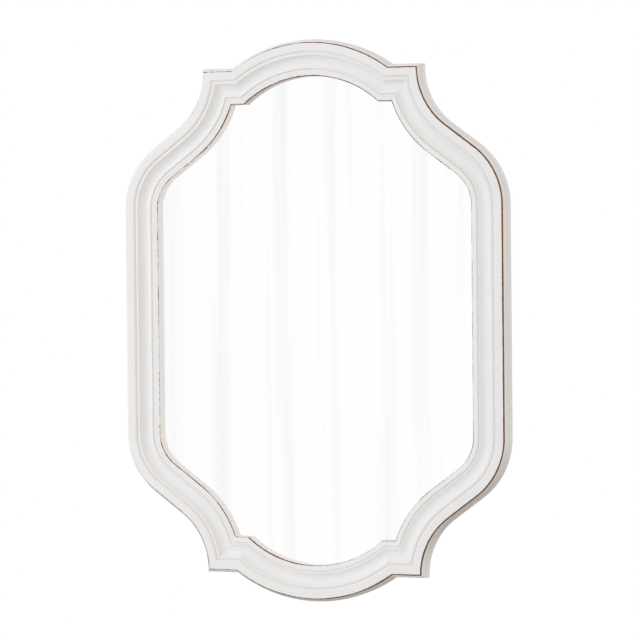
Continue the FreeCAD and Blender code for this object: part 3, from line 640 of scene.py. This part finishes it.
def makeZinc():
    material, tree, shader, place = newMaterial("bright_zinc_on_steel", {"Metallic": 1.0})
    cloud = addNode(tree, "ShaderNodeTexNoise", {"Vector": place, "Scale": perMetre(zinc["cloud"]),
                                                 "Detail": zinc["cloudDetail"]}).outputs["Fac"]
    drawnOut = addNode(tree, "ShaderNodeMapping", {
        "Vector": place, "Scale": (1.0, 1.0, zinc["lineStretch"])}).outputs["Vector"]
    rolled = addNode(tree, "ShaderNodeTexNoise", {"Vector": drawnOut, "Scale": perMetre(zinc["line"]),
                                                  "Detail": zinc["lineDetail"]}).outputs["Fac"]
    colour = addNode(tree, "ShaderNodeMixRGB", {"Fac": cloud, "Color1": hexColour(zinc["colour"]),
                                                "Color2": hexColour(zinc["dark"])})
    roughness = addNode(tree, "ShaderNodeMapRange", {"Value": rolled, "To Min": zinc["shiniest"],
                                                     "To Max": zinc["dullest"]})
    tree.links.new(colour.outputs["Color"], shader.inputs["Base Color"])
    tree.links.new(roughness.outputs["Result"], shader.inputs["Roughness"])
    return material


zincPlate = makeZinc()
metalNodes = [name for name in nodes if "hanger" in name or "turn_button" in name]
for name in metalNodes:
    dress(name, zincPlate)

# Moulded rubber: matt near-black with a fine dusty bloom.
rubber = {
    "colour": "#232324",
    "bloom": "#38383a",
    "grain": 1.5,         # mm
    "grainDetail": 4.0,
    "roughness": 0.75,
    "bump": 0.15,
    "bumpDepth": 0.1,     # mm
}


def makeRubber():
    material, tree, shader, place = newMaterial("moulded_rubber", {"Roughness": rubber["roughness"]})
    grain = addNode(tree, "ShaderNodeTexNoise", {"Vector": place, "Scale": perMetre(rubber["grain"]),
                                                 "Detail": rubber["grainDetail"]}).outputs["Fac"]
    colour = addNode(tree, "ShaderNodeMixRGB", {"Fac": grain, "Color1": hexColour(rubber["colour"]),
                                                "Color2": hexColour(rubber["bloom"])})
    bump = addNode(tree, "ShaderNodeBump", {"Height": grain, "Strength": rubber["bump"],
                                            "Distance": rubber["bumpDepth"] * mm})
    tree.links.new(colour.outputs["Color"], shader.inputs["Base Color"])
    tree.links.new(bump.outputs["Normal"], shader.inputs["Normal"])
    return material


blackRubber = makeRubber()
for name in ("wall_bumpers", "setting_pads"):
    dress(name, blackRubber)
print("back dressed:", len(metalNodes), "metal nodes")

studio = {
    "white": "#ffffff",
    "floorDrop": 1.45,        # m, the floor below the middle of the hung mirror
    "floorSize": 7.0,
    "floorColour": "#f1f0ee",
    "floorPale": "#fbfaf9",
    "floorDrift": 1250.0,     # mm, how soon the floor's tone changes
    "floorDetail": 2.0,
    "floorRoughness": 0.9,
    "fadeLimits": (1.3, 3.4),    # m from the middle, where the floor begins and ends its fade into the white
    "ambient": 0.68,
    "ambientLean": (0.1, -0.3, 0.1),    # more light from the right, the front and above
    "coolSide": "#f7fbff",    # tint of the light from the left, and from the right
    "warmSide": "#fff9f1",
    "drapePale": "#ffffff",   # what the glass sees of the room in front of it
    "drapeShade": "#f3f3f3",
    "drapeFold": 0.5,         # degrees, width of a fold
    "drapeFall": 28.0,        # degrees, how soon a fold changes on its way down
    "drapeDetail": 4.0,
    "drapeSpread": 0.62,
    "drapeLimits": (0.5, 0.75),    # part of the pattern that shows as shaded folds
    "drapeFoot": (-0.3, -0.12),    # height of the way looked along, where the folds run out
    "lamps": {
        "key": {
            "place": (-3.1, -2.0, 1.0), "size": 2.0, "power": 51.0, "spread": 180.0, "colour": "#f5f8ff"},
        "rearFill": {
            "place": (0.4, 3.4, 0.5), "size": 1.4, "power": 7.0, "spread": 50.0, "colour": "#fffaf2"},
    },
}


def makeFloor():
    half, drop = studio["floorSize"] / 2, -studio["floorDrop"]
    corners = [(-half, -half, drop), (half, -half, drop), (half, half, drop), (-half, half, drop)]
    mesh = bpy.data.meshes.new("floor")
    mesh.from_pydata(corners, [], [range(len(corners))])
    floor = bpy.data.objects.new("floor", mesh)
    bpy.context.scene.collection.objects.link(floor)
    floor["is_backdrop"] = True
    floor.visible_diffuse = False
    material, tree, shader, place = newMaterial("pale_floor", {"Roughness": studio["floorRoughness"]})
    drift = addNode(tree, "ShaderNodeTexNoise", {"Vector": place, "Scale": perMetre(studio["floorDrift"]),
                                                 "Detail": studio["floorDetail"]}).outputs["Fac"]
    colour = addNode(tree, "ShaderNodeMixRGB", {"Fac": drift, "Color1": hexColour(studio["floorColour"]),
                                                "Color2": hexColour(studio["floorPale"])})
    tree.links.new(colour.outputs["Color"], shader.inputs["Base Color"])
    # further out the floor fades into the white background
    seen = addNode(tree, "ShaderNodeLightPath").outputs
    watched = addNode(tree, "ShaderNodeMath", {0: seen["Is Camera Ray"], 1: seen["Is Glossy Ray"]},
                      operation="MAXIMUM").outputs[0]
    watched = addNode(tree, "ShaderNodeMath", {0: watched, 1: seen["Is Transmission Ray"]},
                      operation="MAXIMUM").outputs[0]
    level = addNode(tree, "ShaderNodeVectorMath", {0: place, 1: (1.0, 1.0, 0.0)},
                    operation="MULTIPLY").outputs["Vector"]
    away = addNode(tree, "ShaderNodeVectorMath", {0: level}, operation="LENGTH").outputs["Value"]
    fadeStart, fadeEnd = studio["fadeLimits"]
    fade = addNode(tree, "ShaderNodeMapRange", {"Value": away, "From Min": fadeStart, "From Max": fadeEnd},
                   interpolation_type="SMOOTHSTEP").outputs["Result"]
    fade = addNode(tree, "ShaderNodeMath", {0: fade, 1: watched}, operation="MULTIPLY").outputs[0]
    white = addNode(tree, "ShaderNodeEmission", {"Color": hexColour(studio["white"]), "Strength": 1.0})
    mixed = addNode(tree, "ShaderNodeMixShader", {0: fade, 1: shader.outputs["BSDF"], 2: white.outputs[0]})
    tree.links.new(mixed.outputs[0], tree.get_output_node("ALL").inputs["Surface"])
    mesh.materials.append(material)


def makeWorld():
    world = bpy.data.worlds.new("studio")
    bpy.context.scene.world = world
    world.use_nodes = True
    tree = world.node_tree
    tree.nodes.clear()
    seen = addNode(tree, "ShaderNodeLightPath").outputs
    way = addNode(tree, "ShaderNodeTexCoord").outputs["Generated"]
    parts = addNode(tree, "ShaderNodeSeparateXYZ", {"Vector": way}).outputs
    # hanging folds, which only the glass sees
    bearing = addNode(tree, "ShaderNodeMath", {0: parts["X"], 1: parts["Y"]}, operation="ARCTAN2").outputs[0]
    fold, fall = (1 / math.radians(studio[name]) for name in ("drapeFold", "drapeFall"))
    across = addNode(tree, "ShaderNodeMath", {0: bearing, 1: fold}, operation="MULTIPLY").outputs[0]
    down = addNode(tree, "ShaderNodeMath", {0: parts["Z"], 1: fall}, operation="MULTIPLY").outputs[0]
    hanging = addNode(tree, "ShaderNodeCombineXYZ", {"X": across, "Y": down}).outputs["Vector"]
    folds = addNode(tree, "ShaderNodeTexNoise", {"Vector": hanging, "Scale": 1.0,
                                                 "Detail": studio["drapeDetail"],
                                                 "Roughness": studio["drapeSpread"]},
                    noise_dimensions="2D").outputs["Fac"]
    faint, full = studio["drapeLimits"]
    shade = addNode(tree, "ShaderNodeMapRange", {"Value": folds, "From Min": faint,
                                                 "From Max": full}).outputs["Result"]
    lowest, highest = studio["drapeFoot"]
    hung = addNode(tree, "ShaderNodeMapRange", {"Value": parts["Z"], "From Min": lowest,
                                                "From Max": highest}).outputs["Result"]
    shade = addNode(tree, "ShaderNodeMath", {0: shade, 1: hung}, operation="MULTIPLY").outputs[0]
    drape = addNode(tree, "ShaderNodeMixRGB", {"Fac": shade, "Color1": hexColour(studio["drapePale"]),
                                               "Color2": hexColour(studio["drapeShade"])}).outputs["Color"]
    # the room's soft light, stronger and warmer on one side
    lean = addNode(tree, "ShaderNodeVectorMath", {0: way, 1: studio["ambientLean"]},
                   operation="DOT_PRODUCT").outputs["Value"]
    strength = addNode(tree, "ShaderNodeMath", {0: lean, 1: studio["ambient"]}, operation="ADD").outputs[0]
    toRight = addNode(tree, "ShaderNodeMapRange", {"Value": parts["X"], "From Min": -1.0}).outputs["Result"]
    tint = addNode(tree, "ShaderNodeMixRGB", {"Fac": toRight, "Color1": hexColour(studio["coolSide"]),
                                              "Color2": hexColour(studio["warmSide"])}).outputs["Color"]
    # the camera sees plain white, the glass sees the folds, and everything else is lit by the room
    light = addNode(tree, "ShaderNodeBackground", {"Color": tint, "Strength": strength}).outputs[0]
    reflected = addNode(tree, "ShaderNodeBackground", {"Color": drape, "Strength": 1.0}).outputs[0]
    white = addNode(tree, "ShaderNodeBackground", {"Color": hexColour(studio["white"]),
                                                   "Strength": 1.0}).outputs[0]
    glossy = addNode(tree, "ShaderNodeMath", {0: seen["Is Glossy Ray"], 1: seen["Is Transmission Ray"]},
                     operation="MAXIMUM").outputs[0]
    mixed = addNode(tree, "ShaderNodeMixShader", {0: glossy, 1: light, 2: reflected}).outputs[0]
    mixed = addNode(tree, "ShaderNodeMixShader", {0: seen["Is Camera Ray"], 1: mixed, 2: white}).outputs[0]
    addNode(tree, "ShaderNodeOutputWorld", {"Surface": mixed})


def makeLamps():
    for name, settings in studio["lamps"].items():
        light = bpy.data.lights.new(name, "AREA")
        light.size = settings["size"]
        light.energy = settings["power"]
        light.spread = math.radians(settings["spread"])
        light.color = hexColour(settings["colour"])[:3]
        lamp = bpy.data.objects.new(name, light)
        lamp.location = settings["place"]
        lamp.rotation_euler = (-lamp.location).to_track_quat("-Z", "Y").to_euler()
        lamp.visible_camera = False
        lamp.visible_glossy = False
        bpy.context.scene.collection.objects.link(lamp)


makeFloor()
makeWorld()
makeLamps()
bpy.context.scene.view_settings.view_transform = "Standard"
print("studio lit")

view = {
    "yaw": 20.12,             # degrees round to the right of the mirror
    "pitch": 1.77,            # degrees above its middle
    "roll": -0.573,
    "distance": 5.074,        # m
    "clipEnd": 50.0,
    "pixelsPerMm": 0.6147,
    "shiftRight": -4.87,      # pixels
    "shiftDown": 1.0,
    "imageWidth": 640,
    "sensor": 36.0,           # mm
}


def makeCamera():
    yaw, pitch, roll = (math.radians(view[name]) for name in ("yaw", "pitch", "roll"))
    back = Vector((math.sin(yaw) * math.cos(pitch), -math.cos(yaw) * math.cos(pitch), math.sin(pitch)))
    right = Vector((math.cos(yaw), math.sin(yaw), 0.0))
    up = back.cross(right)
    across = right * math.cos(roll) + up * math.sin(roll)
    upward = up * math.cos(roll) - right * math.sin(roll)
    turn = Matrix((across, upward, back)).transposed().to_4x4()
    lens = bpy.data.cameras.new("camera")
    lens.sensor_width = view["sensor"]
    lens.lens = view["pixelsPerMm"] * view["distance"] / mm / view["imageWidth"] * view["sensor"]
    lens.shift_x = -view["shiftRight"] / view["imageWidth"]
    lens.shift_y = view["shiftDown"] / view["imageWidth"]
    lens.clip_end = view["clipEnd"]
    camera = bpy.data.objects.new("camera", lens)
    camera.matrix_world = Matrix.Translation(back * view["distance"]) @ turn
    bpy.context.scene.collection.objects.link(camera)
    bpy.context.scene.camera = camera


makeCamera()
print("camera set")

({name: [list(corner) for corner in box]
           for name, box in (("cad", cadBounds), ("visual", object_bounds()))})
